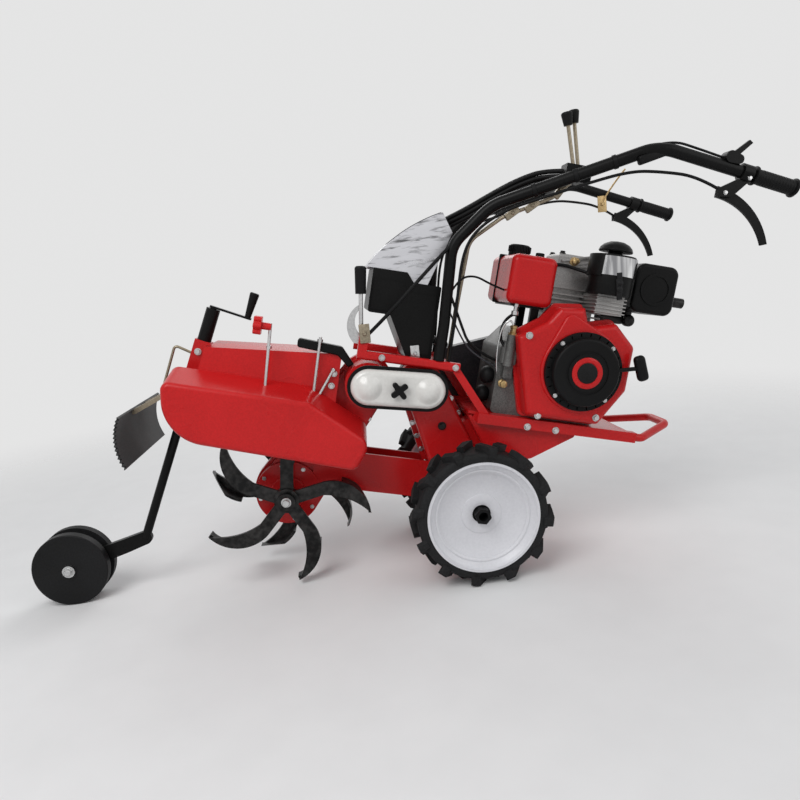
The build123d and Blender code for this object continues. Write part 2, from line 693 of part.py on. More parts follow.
# Control cables: clutch cables under both tubes, the tool cable to the lever post, and two to the engine.
clutch_run = [(462, -HANDLE_Y, 944), (392, -318, 972), (220, -298, 962), (112, -272, 912), (-66, -206, 826),
              (-158, -188, 724), (-144, -172, 560), (-138, -BAR_Y, 440), (-138, -BAR_Y, BAR_Z)]
cables = [tube_along(clutch_run, [40, 90, 90, 60, 80, 80, 60], 4)]
cables.append(far_twin(cables[0]))
cables.append(tube_along([(-184, -165, 722), (-222, -198, 676), (-336, -178, 500), (-387, -BAR_Y, 436)], [50, 60], 5))
cables.append(tube_along([(-172, -150, 572), (-150, -140, 630), (-100, -118, 652), (-36, -100, 630), (6, -100, 622)],
                         [20, 30, 30], 3))
cables.append(tube_along([(-176, -155, 606), (-130, -165, 520), (-80, -142, 440), (30, -100, 414)], [50, 60], 4))
held = [pieces[name] for name in ("handle_tube_near", "handle_tube_far", "lever_clamps", "top_frame", "fuel_tank",
                                  "engine_block")]
with BuildPart() as cable_set:
    for cable in cables:
        add(cable)
    for part in held:
        add(part, mode=Mode.SUBTRACT)
pieces["control_cables"] = Part(cable_set.solids().sort_by(SortBy.VOLUME)[-len(cables):])

# Column direction and the box's matching end wall.
lean = math.hypot(COLUMN_TOP[0] - COLUMN_FOOT[0], COLUMN_TOP[1] - COLUMN_FOOT[1])
up = ((COLUMN_TOP[0] - COLUMN_FOOT[0]) / lean, (COLUMN_TOP[1] - COLUMN_FOOT[1]) / lean)


def column(z, out=0):
    """(x, z) on the column at a height, moved sideways towards the engine."""
    x = COLUMN_FOOT[0] + (z - COLUMN_FOOT[1]) * up[0] / up[1]
    return (x + out * up[1], z - out * up[0])


# Hood: centre box and two fenders, held by blocks on the tool case.
BOX_LOW = 236
wall_low = column(BOX_LOW + 4, SOCKET / 2)
wall_top = column(349, SOCKET / 2)
with BuildPart() as hood_box:
    add(slab(-BOX_Y, BOX_Y, lambda: outline((wall_low[0], wall_low[1]), wall_top, (-440, 376), (-440, BOX_LOW))))
    add(slab(-BOX_Y + SHEET, BOX_Y - SHEET,
             lambda: outline((wall_low[0] + SHEET, BOX_LOW - 20), (wall_low[0] + SHEET, wall_low[1]),
                             (wall_top[0] + SHEET, wall_top[1] - SHEET), (-430, 376 - SHEET), (-430, BOX_LOW - 20))),
        mode=Mode.SUBTRACT)
    for s in (-1, 1):
        with Locations((-452, s * (TOOL_Y + BOX_Y) / 2, 290)):
            Box(20, BOX_Y - TOOL_Y, 40)
pieces["hood_box"] = hood_box.part

fender_corners = [(-908, 250, 24), (-515, 243, 40), (-330, 150, 40), (-362, 66, 26), (-886, 93, 125)]
slope = DECK_RISE / (HOOD_Y - BOX_Y)
with BuildPart() as fender:
    add(panel(-HOOD_Y, -BOX_Y, fender_corners, slope=slope))
    fillet(fender.edges().group_by(Axis.Y)[0], ROLL)
    with BuildPart(mode=Mode.SUBTRACT) as under:
        add(panel(-HOOD_Y + SHEET, -BOX_Y + SHEET, fender_corners, inset=SHEET, slope=slope))
        fillet(under.edges().group_by(Axis.Y)[0], ROLL - SHEET)
    add(slab(-HOOD_Y + ROLL, -BOX_Y + SHEET, lambda: outline((-815, 0), (-815, 150), (-362, 150), (-330, 112), (-320, 112), (-320, 0))),
        mode=Mode.SUBTRACT)
pair("fender", fender.part)

# On the hood: setting rods, the red star knob on the first of them, and the black holding bar.
hood_rods = []
for run, nut in (([(-640, -150, 250), (-645, -150, 438)], (-642, 368)), ([(-506, -128, 240), (-506, -128, 418)], (-506, 404)),
                 ([(-492, -123, 246), (-457, -123, 334)], (-460, 326))):
    with BuildPart() as rod:
        add(tube_along(run, None, 4.5))
        with BuildSketch(Plane(origin=(nut[0], run[0][1], nut[1]), z_dir=Vector(run[1]) - Vector(run[0]))):
            RegularPolygon(8, 6)
        extrude(amount=8)
        add(fender.part, mode=Mode.SUBTRACT)
    hood_rods.append(rod.solids().sort_by(Axis.Z)[-1])
pieces["hood_rods"] = Part(hood_rods)

with BuildPart() as star_knob:
    with BuildSketch(Plane.YZ.offset(-690)):
        with Locations((-150, 428)):
            Circle(19)
            with PolarLocations(19, 6):
                Circle(8)
    extrude(amount=22)
    fillet(star_knob.edges().group_by(Axis.X)[0], 3)
    with BuildSketch(Plane.YZ.offset(-668)):
        with Locations((-150, 428)):
            Circle(10)
    extrude(amount=26)
    for solid in hood_rods:
        add(solid, mode=Mode.SUBTRACT)
pieces["star_knob"] = star_knob.solids().sort_by(SortBy.VOLUME)[-1]

with BuildPart() as hood_bar:
    add(panel(-122, -94, [(-568, 406, 8), (-442, 398, 14), (-402, 352, 4), (-418, 342, 4), (-452, 372, 10), (-568, 380, 8)]))
    fillet(hood_bar.edges().group_by(Axis.Y)[0], 5)
    add(hood_box.part, mode=Mode.SUBTRACT)
pieces["hood_bar"] = hood_bar.solids().sort_by(SortBy.VOLUME)[-1]

# Depth column: socket on the box wall, screw tube and crank; the round bar slides inside.
column_plane = Plane(origin=(*column(200)[:1], 0, 200), x_dir=(0, 1, 0), z_dir=(up[0], 0, up[1]))
socket_l = (351 - 200) / up[1]
with BuildPart() as socket:
    with BuildSketch(column_plane):
        Rectangle(SOCKET, SOCKET)
        Circle(COLUMN_R + 0.5, mode=Mode.SUBTRACT)
    extrude(amount=socket_l)
pieces["column_socket"] = socket.part

tube_l = (COLUMN_TOP[1] - 351) / up[1]
with BuildPart() as screw_tube:
    with BuildSketch(column_plane.offset(socket_l)):
        Circle(COLUMN_TUBE_R)
        Circle(COLUMN_R + 0.5, mode=Mode.SUBTRACT)
    extrude(amount=tube_l)
    with BuildSketch(column_plane.offset(socket_l + tube_l)):
        Circle(COLUMN_TUBE_R)
    extrude(amount=6)
pieces["screw_tube"] = screw_tube.part

crank_seat = column_plane.offset(socket_l + tube_l + 6)
with BuildPart() as crank:
    with BuildSketch(crank_seat):
        Circle(9)
    extrude(amount=8)
    with BuildSketch(crank_seat.offset(2)):
        with Locations((0, -50)):
            Rectangle(18, 122)
    extrude(amount=6)
    with BuildSketch(crank_seat.offset(8)):
        with Locations((0, -100)):
            Circle(9)
    extrude(amount=74, taper=-4)
    fillet(crank.faces().sort_by(Axis((0, 0, 0), (up[0], 0, up[1])))[-1].edges(), 5)
pieces["crank"] = crank.part

# Flap at the tine end: a curved rubber sheet on two straps, and the link that holds it to the socket.
FLAP_Y = 212
FLAP_T = 6
with BuildPart() as flap:
    with BuildSketch(side(FLAP_Y)):
        with BuildLine():
            ThreePointArc((-1011, 137), (-1016, 93), (-980, -2))
            Line((-980, -2), (-980 + FLAP_T, 0))
            ThreePointArc((-980 + FLAP_T, 0), (-1016 + FLAP_T, 94), (-1011 + FLAP_T, 137))
            Line((-1011 + FLAP_T, 137), (-1011, 137))
        make_face()
    extrude(amount=2 * FLAP_Y)
pieces["flap"] = flap.part

with BuildPart() as hanger:
    for y in (-75, 45):
        add(slab(y, y + 30, lambda: outline((wall_low[0] + 12, 262), (wall_low[0] + 12, 254), (-1000, 122), (-1008, 122),
                                            (-1008, 134))))
    add(tube_along([(-862, -10, 308), (-922, -10, 326), (-948, -10, 170), (-1008, -10, 128)], [10, 30], 4))
    add(hood_box.part, mode=Mode.SUBTRACT)
    add(flap.part, mode=Mode.SUBTRACT)
    add(socket.part, mode=Mode.SUBTRACT)
pieces["flap_hanger"] = Part(hanger.solids().sort_by(SortBy.VOLUME)[-3:])

# Moving column bar with its arm.
bar_top_z = 300
bar_len = (bar_top_z - COLUMN_FOOT[1]) / up[1]
with BuildPart() as column_bar:
    with BuildSketch(Plane(origin=(COLUMN_FOOT[0], 0, COLUMN_FOOT[1]), x_dir=(0, 1, 0), z_dir=(up[0], 0, up[1]))):
        Circle(COLUMN_R)
    extrude(amount=bar_len)
    add(slab(-9, 9, lambda: hull_of(((-1010, -305), 22), (COLUMN_FOOT, 20))))
    add(slab(-9, 9, lambda: hull_of(((-1010, -305), 22), (GAUGE, 24))))
    with BuildSketch(side(20)):
        with Locations(GAUGE):
            Circle(10 + RUN_FIT)
    extrude(amount=40, mode=Mode.SUBTRACT)
pieces["column_bar"] = column_bar.part

with BuildPart() as gauge_axle:
    with BuildSketch(side(GAUGE_OUT)):
        with Locations(GAUGE):
            Circle(10)
    extrude(amount=2 * GAUGE_OUT)
    for y in (-GAUGE_OUT - 10, GAUGE_OUT):
        add(slab(y, y + 10, lambda: hull_of((GAUGE, 18))))
pieces["gauge_axle"] = gauge_axle.part

with BuildPart() as gauge_wheel:
    add(slab(-GAUGE_OUT, -GAUGE_IN, lambda: hull_of((GAUGE, GAUGE_R))))
    fillet(gauge_wheel.edges().group_by(Axis.Y)[0], 4)
    with BuildSketch(side(0)):
        with Locations(GAUGE):
            Circle(10 + RUN_FIT)
    extrude(amount=60, mode=Mode.SUBTRACT)
both("gauge_wheels", gauge_wheel.part)

# Rotor: shaft, and one five-armed set of curved tines on each side of the tool case.
with BuildPart() as rotor_shaft:
    with BuildSketch(side(TINE_Y - 20)):
        with Locations(ROTOR):
            Circle(ROTOR_SHAFT_R)
    extrude(amount=2 * TINE_Y - 40)
pieces["rotor_shaft"] = rotor_shaft.part


def tine():
    """One near-side tine along X: a flat arm that hooks back to a point, and a wing turned inwards along its edge."""
    plane_in = Plane.XZ.offset(TINE_Y - TINE_T / 2)
    with BuildPart() as arm:
        with BuildSketch(plane_in):
            with BuildLine():
                outer = CenterArc(HOOK, HOOK_R, -10, 95)
                inner = ThreePointArc(outer @ 0, (176, -58), (106, -19))
                Polyline(inner @ 1, (20, -19), (20, 19), outer @ 1)
            make_face()
        extrude(amount=TINE_T)
    with BuildPart() as wing:
        with BuildSketch(plane_in):
            with BuildLine():
                edge = CenterArc(HOOK, HOOK_R, -10, 68)
                back = CenterArc(HOOK, HOOK_R - 8, -10, 68)
                Line(edge @ 0, back @ 0)
                Line(edge @ 1, back @ 1)
            make_face()
        extrude(amount=-WING)
        point, heel = edge @ 0, edge @ 0.6
        low = Vector(point.X, -TINE_Y + TINE_T / 2 + WING_TIP, point.Z)
        chord = Vector(heel.X, -TINE_Y + TINE_T / 2 + WING, heel.Z) - low
        across = chord.cross(Vector(0, 1, 0))
        with Locations(Plane(origin=low, x_dir=chord, z_dir=across.cross(chord))):
            Box(600, 300, 100, align=(Align.CENTER, Align.CENTER, Align.MIN), mode=Mode.SUBTRACT)
    return arm.part + wing.part


def tine_set(first, flip):
    """Hub with hooked tines all round."""
    with BuildPart() as made:
        for y, radius, length in ((TINE_Y - 20, 36, 34), (TINE_Y + 14, 25, 12)):
            with BuildSketch(Plane.XZ.offset(y)):
                Circle(radius)
            extrude(amount=length)
        one = tine()
        for i in range(TINES):
            add(one.rotate(Axis.Y, i * 360 / TINES - first))
        Cylinder(ROTOR_SHAFT_R + RUN_FIT, 2 * TINE_Y - 40, rotation=(90, 0, 0), mode=Mode.SUBTRACT)
    return Pos(ROTOR[0], 0, ROTOR[1]) * (made.part if flip > 0 else far_twin(made.part))


pieces["tine_set_near"] = tine_set(97, 1)
pieces["tine_set_far"] = tine_set(66, -1)

# Stand the machine on its wheels, with the bottom centre of the whole at the origin.
turned = {name: Location((0, 0, 0), (0, PITCH, 0)) * part for name, part in pieces.items()}
boxes = [part.bounding_box() for part in turned.values()]
middle = (min(b.min.X for b in boxes) + max(b.max.X for b in boxes)) / 2
for name, part in turned.items():
    placed = Pos(-middle, 0, TYRE_R) * part
    placed.label = name
    export_step(placed, f"parts/{name}.step")
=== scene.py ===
# %% [markdown]
# # Dressing a ditching machine
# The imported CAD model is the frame: every size and place comes from it. This lesson adds what the solids leave
# out, such as paint, castings, rubber, bolts and trim, then lights the machine and sets the camera.

# %% The frame and its box
import json
import math

import bpy
from mathutils import Matrix, Vector


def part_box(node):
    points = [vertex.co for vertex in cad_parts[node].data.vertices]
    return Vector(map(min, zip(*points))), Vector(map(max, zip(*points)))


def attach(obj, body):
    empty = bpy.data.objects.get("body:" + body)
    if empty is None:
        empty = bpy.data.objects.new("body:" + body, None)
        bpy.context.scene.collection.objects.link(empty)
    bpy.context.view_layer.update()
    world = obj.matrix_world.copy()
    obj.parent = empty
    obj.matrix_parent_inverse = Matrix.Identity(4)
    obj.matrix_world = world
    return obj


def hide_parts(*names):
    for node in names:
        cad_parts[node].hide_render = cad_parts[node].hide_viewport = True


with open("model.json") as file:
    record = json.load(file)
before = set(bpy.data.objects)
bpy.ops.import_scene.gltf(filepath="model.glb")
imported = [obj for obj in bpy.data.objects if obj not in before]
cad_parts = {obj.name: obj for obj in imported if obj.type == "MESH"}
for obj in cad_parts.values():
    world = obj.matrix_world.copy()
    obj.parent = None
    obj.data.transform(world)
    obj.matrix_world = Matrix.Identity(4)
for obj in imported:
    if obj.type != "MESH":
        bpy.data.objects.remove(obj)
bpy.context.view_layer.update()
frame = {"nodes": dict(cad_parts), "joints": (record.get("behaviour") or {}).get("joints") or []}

scene = bpy.context.scene
scene.view_settings.view_transform = "Standard"

# %% [markdown]
# ## The machine's own level
# The machine parks nose up, pitched about its wheel axle. It is easier to think with the engine platform level,
# so `at` turns a point measured that way, in millimetres from the axle, into the row frame in metres. X runs from
# the tines to the handles, Y from the near side to the far side, Z up. The pitch comes from the depth slide, whose
# column leans by a known run and rise on the level machine.

# %% Level machine to row frame
axle_low, axle_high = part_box("wheel_hub_near")
AXLE = Vector(((axle_low.x + axle_high.x) / 2, 0, (axle_low.z + axle_high.z) / 2))
slide = next(j for j in frame["joints"] if j["name"] == "depth_slide")
COLUMN_RUN, COLUMN_RISE = 130, 714
PITCH = math.atan2(slide["axis"][0], slide["axis"][2]) - math.atan2(COLUMN_RUN, COLUMN_RISE)
MM = 0.001
LEVEL = Matrix.Translation(AXLE) @ Matrix.Rotation(PITCH, 4, "Y") @ Matrix.Scale(MM, 4)


def at(x, y, z):
    """A point of the level machine, in the row frame."""
    return LEVEL @ Vector((x, y, z))


def seat(x, y, z, facing=(0, -1, 0), turn=0.0):
    """Where a small piece modelled along +Z goes: at a point of the level machine, facing a way."""
    way = (LEVEL.to_3x3() @ Vector(facing)).normalized()
    return Matrix.Translation(at(x, y, z)) @ way.to_track_quat("Z", "Y").to_matrix().to_4x4() \
        @ Matrix.Rotation(math.radians(turn), 4, "Z")


def upright(x, y, z):
    """Where a piece modelled along the level machine's own axes goes."""
    return LEVEL @ Matrix.Translation((x, y, z)) @ Matrix.Scale(1 / MM, 4)


print("axle", tuple(AXLE), "pitch", math.degrees(PITCH))

# %% [markdown]
# ## Materials
# A painted, cast or moulded surface is never one flat colour. One function makes every finish: two close colours
# mixed by a fine and a broad noise, a roughness that wanders, and a bump for the grain. Image textures would do it
# too, but a procedural finish needs no files, and in object coordinates it stays on the part.

# %% The noise behind a finish
def set_range(node, *values):
    """Limits of a Map Range node."""
    for socket, value in zip(("From Min", "From Max", "To Min", "To Max"), values):
        node.inputs[socket].default_value = value


def noise_pair(nodes, links, grain, broad, streak):
    """A fine and a broad noise; streak is a tilt in degrees and a stretch along Z."""
    lay = nodes.new("ShaderNodeMapping")
    links.new(nodes.new("ShaderNodeTexCoord").outputs["Object"], lay.inputs["Vector"])
    lay.inputs["Rotation"].default_value = (0, math.radians(streak[0]), 0)
    lay.inputs["Scale"].default_value = (1, 1, streak[1])
    pair = [nodes.new("ShaderNodeTexNoise"), nodes.new("ShaderNodeTexNoise")]
    for noise, scale in zip(pair, (grain, broad)):
        noise.inputs["Scale"].default_value = scale
        noise.inputs["Detail"].default_value = 5
        links.new(lay.outputs["Vector"], noise.inputs["Vector"])
    return pair


# %% One maker for every finish
def finish(name, light, dark, rough=(0.3, 0.5), metallic=0.0, grain=60.0, bump=0.1, coat=0.0, broad=4.0,
           edge=(0.36, 0.62), shine=0.5, streak=(0, 1)):
    """Light and dark colours and a roughness range; edge is where the noise turns from dark to light."""
    made = bpy.data.materials.new(name)
    made.use_nodes = True
    nodes, links = made.node_tree.nodes, made.node_tree.links
    shader = nodes["Principled BSDF"]
    shader.inputs["Metallic"].default_value = metallic
    shader.inputs["Specular IOR Level"].default_value = shine
    shader.inputs["Coat Weight"].default_value = coat
    shader.inputs["Coat Roughness"].default_value = 0.08
    fine, wide = noise_pair(nodes, links, grain, broad, streak)
    half, blend = nodes.new("ShaderNodeMath"), nodes.new("ShaderNodeMath")
    half.operation, blend.operation = "MULTIPLY", "MULTIPLY_ADD"
    half.inputs[1].default_value = blend.inputs[1].default_value = 0.5
    links.new(wide.outputs["Fac"], half.inputs[0])
    links.new(fine.outputs["Fac"], blend.inputs[0])
    links.new(half.outputs[0], blend.inputs[2])
    ramp = nodes.new("ShaderNodeValToRGB")
    for stop, place, colour in zip(ramp.color_ramp.elements, edge, (dark, light)):
        stop.position, stop.color = place, (*colour, 1)
    links.new(blend.outputs[0], ramp.inputs["Fac"])
    links.new(ramp.outputs["Color"], shader.inputs["Base Color"])
    gloss = nodes.new("ShaderNodeMapRange")
    set_range(gloss, 0.35, 0.65, *rough)
    links.new(wide.outputs["Fac"], gloss.inputs["Value"])
    links.new(gloss.outputs["Result"], shader.inputs["Roughness"])
    relief = nodes.new("ShaderNodeBump")
    relief.inputs["Strength"].default_value = bump
    relief.inputs["Distance"].default_value = MM
    links.new(fine.outputs["Fac"], relief.inputs["Height"])
    links.new(relief.outputs["Normal"], shader.inputs["Normal"])
    return made


# %% The machine's finishes
RED = finish("red paint", (0.56, 0.013, 0.014), (0.44, 0.008, 0.009), (0.22, 0.34), grain=220, bump=0.03, coat=0.05,
             shine=0.22)
BLACK = finish("black paint", (0.007, 0.007, 0.007), (0.003, 0.003, 0.003), (0.28, 0.42), grain=200, bump=0.05,
               shine=0.11)
PLASTIC = finish("black plastic", (0.009, 0.009, 0.0095), (0.004, 0.004, 0.004), (0.4, 0.55), grain=500, bump=0.15,
                 shine=0.11)
RUBBER = finish("tyre rubber", (0.017, 0.017, 0.018), (0.007, 0.007, 0.007), (0.6, 0.8), grain=160, bump=0.35,
                shine=0.18)
STEEL = finish("dark steel", (0.045, 0.043, 0.042), (0.006, 0.006, 0.006), (0.28, 0.5), 0.5, grain=70, bump=0.2,
               broad=14, edge=(0.42, 0.66), shine=0.3)
ALLOY = finish("cast alloy", (0.42, 0.41, 0.4), (0.22, 0.215, 0.21), (0.35, 0.55), 0.8, grain=300, bump=0.35, broad=14)
# A darker copy of the cast alloy for the engine block: painted shade on its pump side.
SHADED_ALLOY = finish("cast alloy in painted shade", (0.16, 0.16, 0.155), (0.05, 0.05, 0.048), (0.4, 0.6), 0.6, grain=300, bump=0.35, broad=14,
              shine=0.3)
BRIGHT = finish("bright steel", (0.62, 0.62, 0.62), (0.48, 0.48, 0.48), (0.2, 0.34), 1.0, grain=160, bump=0.06)
CHROME = finish("chrome", (0.86, 0.86, 0.86), (0.3, 0.3, 0.31), (0.1, 0.2), 1.0, grain=90, bump=0.03, broad=30,
                edge=(0.4, 0.58), streak=(0, 0.02))
CREAM = finish("cream paint", (0.72, 0.71, 0.68), (0.66, 0.65, 0.62), (0.2, 0.32), grain=140, bump=0.03, coat=0.3)
WHITE = finish("wheel paint", (0.66, 0.66, 0.69), (0.6, 0.6, 0.63), (0.25, 0.4), grain=140, bump=0.04, coat=0.2)
GREY = finish("dark grey paint", (0.015, 0.015, 0.016), (0.008, 0.008, 0.008), (0.4, 0.55), grain=200, bump=0.1,
              shine=0.12)
SLATE = finish("slate paint", (0.06, 0.06, 0.068), (0.03, 0.03, 0.035), (0.35, 0.5), grain=180, bump=0.08, shine=0.25)
BRASS = finish("brass", (0.5, 0.36, 0.18), (0.34, 0.23, 0.1), (0.28, 0.42), 0.9, grain=160, bump=0.1)
BRONZE = finish("plated steel", (0.34, 0.29, 0.21), (0.2, 0.165, 0.12), (0.28, 0.45), 0.8, grain=200, bump=0.1, broad=5)
# Foil of the cowl: its dark mottled streaks are painted reflections of the surroundings, mixed with real smudges on the
# film.
FOIL_WITH_REFLECTIONS = finish("foil with painted reflections", (0.66, 0.66, 0.69), (0.13, 0.13, 0.135), (0.24, 0.4), 0.85, grain=24, bump=0.08, broad=9,
              edge=(0.36, 0.47), streak=(38, 5))
FLAP = finish("flap rubber", (0.05, 0.052, 0.052), (0.028, 0.029, 0.029), (0.55, 0.75), grain=260, bump=0.25, shine=0.3)
print("finishes", len(bpy.data.materials))

# %% [markdown]
# ## Paint on the solids
# Each solid of the machine gets the finish of its real part: red castings and sheet, black tubes and plastic, bare
# steel where a part slides or wears. The list goes by finish, so that two red parts can't drift apart.

# %% Finish of every solid
PAINTED = {
    RED: "gearbox_case side_case tool_case lower_link top_frame engine_platform bumper fan_shroud fuel_tank hood_box "
         "fender_near fender_far column_socket star_knob axle_housings",
    BLACK: "handle_tube_near handle_tube_far handle_cross_tubes lever_clamps clutch_levers muffler air_cleaner "
           "console_box screw_tube crank column_bar tank_bracket hood_bar",
    PLASTIC: "grips cover_knob cover_gasket recoil_starter pull_handle tank_cap shift_knobs tool_lever_grip "
             "wheel_hub_near wheel_hub_far control_cables",
    RUBBER: "tyre_near tyre_far",
    FLAP: "flap",
    STEEL: "tine_set_near tine_set_far rotor_shaft exhaust_pipes",
    ALLOY: "cylinder",
    # The engine block gets the cast alloy darkened as painted shade.
    SHADED_ALLOY: "engine_block",
    BRIGHT: "gauge_axle tool_lever hood_rods",
    # The cowl's foil carries painted reflections in its dark streaks.
    FOIL_WITH_REFLECTIONS: "console_cowl",
    CHROME: "air_cleaner_band",
    CREAM: "drive_cover",
    WHITE: "wheel_disc_near wheel_disc_far",
    GREY: "gauge_wheels",
    SLATE: "belt_guard",
    BRONZE: "shift_rods flap_hanger",
}
painted = []
for look, names in PAINTED.items():
    for name in names.split():
        node = frame["nodes"][name]
        node.data.materials.clear()
        node.data.materials.append(look)
        painted.append(name)
print("painted", len(painted), "bare", sorted(set(frame["nodes"]) - set(painted)))

# %% [markdown]
# ## A bench for small parts
# Most small parts of a machine are turned on a lathe or pressed from plate, and here they are too. `turned` starts
# from a circle and extrudes and scales it from ring to ring, `spun` sweeps an outline round, and `pressed` rounds off
# a block. All are made at the origin along +Z, sized in millimetres, and `place_all` copies them onto the machine.

# %% Choosing what an operator acts on
def fresh():
    """Object mode with nothing selected."""
    if bpy.context.object and bpy.context.object.mode != "OBJECT":
        bpy.ops.object.mode_set(mode="OBJECT")
    bpy.ops.object.select_all(action="DESELECT")


def only(piece):
    """One piece selected and active."""
    fresh()
    piece.select_set(True)
    bpy.context.view_layer.objects.active = piece


def pick(piece, test):
    """Edit mode, with the vertices whose place passes a test selected."""
    bpy.ops.object.mode_set(mode="EDIT")
    bpy.ops.mesh.select_all(action="DESELECT")
    bpy.ops.object.mode_set(mode="OBJECT")
    for vertex in piece.data.vertices:
        vertex.select = test(vertex.co)
    bpy.ops.object.mode_set(mode="EDIT")


def outward():
    """The mesh in edit mode gets its faces turned outwards, and edit mode ends."""
    bpy.ops.mesh.select_all(action="SELECT")
    bpy.ops.mesh.normals_make_consistent(inside=False)
    bpy.ops.object.mode_set(mode="OBJECT")
    return bpy.context.object


# %% Turn, press, spin
def turned(profile, sides=32):
    """A turning along Z, as (radius, height) rings from the bottom up."""
    fresh()
    radius, height = profile[0]
    bpy.ops.mesh.primitive_circle_add(vertices=sides, radius=radius * MM, fill_type="NGON",
                                      location=(0, 0, height * MM))
    bpy.ops.object.transform_apply(location=True, rotation=True, scale=True)
    bpy.ops.object.mode_set(mode="EDIT")
    bpy.ops.mesh.select_all(action="SELECT")
    for (old, low), (new, high) in zip(profile, profile[1:]):
        bpy.ops.mesh.extrude_region_move(TRANSFORM_OT_translate={"value": (0, 0, (high - low) * MM)})
        bpy.ops.transform.resize(value=(new / old, new / old, 1), center_override=(0, 0, high * MM))
    return outward()


def pressed(size, rounding, segments=3):
    """A block with all its edges rounded."""
    fresh()
    bpy.ops.mesh.primitive_cube_add(size=MM)
    bpy.context.object.scale = size
    bpy.ops.object.transform_apply(location=True, rotation=True, scale=True)
    bpy.ops.object.mode_set(mode="EDIT")
    bpy.ops.mesh.select_all(action="SELECT")
    bpy.ops.mesh.bevel(offset=rounding * MM, segments=segments, affect="EDGES")
    bpy.ops.object.mode_set(mode="OBJECT")
    return bpy.context.object


def spun(corners, start=0.0, sweep=360.0, steps=64):
    """A ring around Z, or a part of one: a (radius, height) outline spun from an angle."""
    fresh()
    bpy.ops.mesh.primitive_circle_add(vertices=len(corners), radius=0.01)
    turn = Matrix.Rotation(math.radians(start), 3, "Z")
    for vertex, (radius, height) in zip(bpy.context.object.data.vertices, corners):
        vertex.co = turn @ Vector((radius, 0, height)) * MM
    bpy.ops.object.mode_set(mode="EDIT")
    bpy.ops.mesh.select_all(action="SELECT")
    bpy.ops.mesh.spin(steps=steps, angle=math.radians(sweep), center=(0, 0, 0), axis=(0, 0, 1))
    bpy.ops.mesh.select_all(action="SELECT")
    bpy.ops.mesh.remove_doubles(threshold=0.05 * MM)
    bpy.ops.mesh.fill_holes(sides=0)
    return outward()


# %% Settle, join, copy
def settle(piece, name, look, body="chassis"):
    """Name, finish, smooth shading and the body it rides on."""
    piece.name = piece.data.name = name
    piece.data.materials.clear()
    piece.data.materials.append(look)
    only(piece)
    bpy.ops.object.shade_smooth_by_angle(angle=math.radians(35))
    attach(piece, body)
    print(name, "on", body, len(piece.data.polygons), "faces")
    return piece


def join(pieces):
    """One object of several, in the first one's place."""
    fresh()
    for piece in pieces:
        piece.select_set(True)
    bpy.context.view_layer.objects.active = pieces[0]
    bpy.ops.object.join()
    return pieces[0]


def place_all(source, name, seats, look, body="chassis", size=1.0):
    """Copies of a source at seats, as one object."""
    copies = []
    for spot in seats:
        copy = bpy.data.objects.new(name, source.data.copy())
        scene.collection.objects.link(copy)
        copy.data.transform(spot @ Matrix.Scale(size, 4))
        copies.append(copy)
    return settle(join(copies), name, look, body)


# %% [markdown]
# ## Finding the surface
# A bolt has to sit on the metal, neither floating nor sunk. A ray shot sideways at a part from outside, or down on
# it, gives the exact place, so only two of the three coordinates are typed.

# %% Rays at the level machine
SIDE_START, TOP_START = 700, 1500  # where rays start, clear of the machine


def shot(node, origin, towards):
    """Where a ray first meets a part, on the level machine, or None."""
    part = frame["nodes"][node]
    back = part.matrix_world.inverted()
    start, end = back @ at(*origin), back @ at(*towards)
    hit, spot, _, _ = part.ray_cast(start, (end - start).normalized())
    if not hit:
        return None
    return LEVEL.inverted() @ (part.matrix_world @ spot)


def beside(node, spots, side=-1, turn=0.0):
    """Seats on the near (-1) or far (1) face of a part, at (x, z) spots of the level machine."""
    found = [shot(node, (x, side * SIDE_START, z), (x, 0, z)) for x, z in spots]
    if None in found:
        print("no metal at", node, spots[found.index(None)])
    return [seat(*spot, facing=(0, side, 0), turn=turn) for spot in found if spot]


def atop(node, spots):
    """Seats on top of a part, at (x, y) spots of the level machine."""
    found = [shot(node, (x, y, TOP_START), (x, y, 0)) for x, y in spots]
    return [seat(*spot, facing=(0, 0, 1)) for spot in found if spot]


def ring(x, z, radius, count, first=0.0):
    """Spots evenly round a circle, from a first angle."""
    return [(x + radius * math.cos(math.radians(first + 360 * i / count)),
             z + radius * math.sin(math.radians(first + 360 * i / count))) for i in range(count)]


def flank(one, r_one, two, r_two, side, shares):
    """Spots on the tangent of two (x, z) circles, as on a case's lip; side 1 is left of the way from one to two."""
    one, two = Vector(one), Vector(two)
    way = (two - one).normalized()
    normal = side * Vector((-way.y, way.x))
    lean = (r_one - r_two) / (two - one).length
    out = math.sqrt(1 - lean * lean) * normal + lean * way
    start, end = one + r_one * out, two + r_two * out
    return [tuple(start.lerp(end, share)) for share in shares]


# Centres of shafts, as (x, z): driven wheels, the two ends of the drive cover, rotor, starter, gauge wheels.
HUB, LEFT, RIGHT, ROTOR = (0, 0), (-356, 301), (-190, 312), (-543, -67)
STARTER, GAUGE = (235, 428), (-1156, -384)
print("shroud face at", shot("fan_shroud", (68, -SIDE_START, 507), (68, 0, 507)))

# %% [markdown]
# ## Bolts
# Cases, brackets and the engine are held by hexagon bolts with washers. The head could come from an add-on, but a
# six-sided turning with a chamfer on a round washer is enough. It is modelled once; each group of copies is one
# object, and the groups on the rotor and the gauge wheels turn with them.

# %% A hexagon bolt on its washer
washer = turned([(10.5, -1), (10.5, 1.6), (10, 2.2)], 28)
bolt = join([washer, turned([(7.6, 1), (8.4, 2.4), (8.4, 7.4), (7.2, 8.6)], 6)])


def both_sides(node, spots):
    """Seats on the near and the far face of a part, at the same spots."""
    return beside(node, spots) + beside(node, spots, 1)


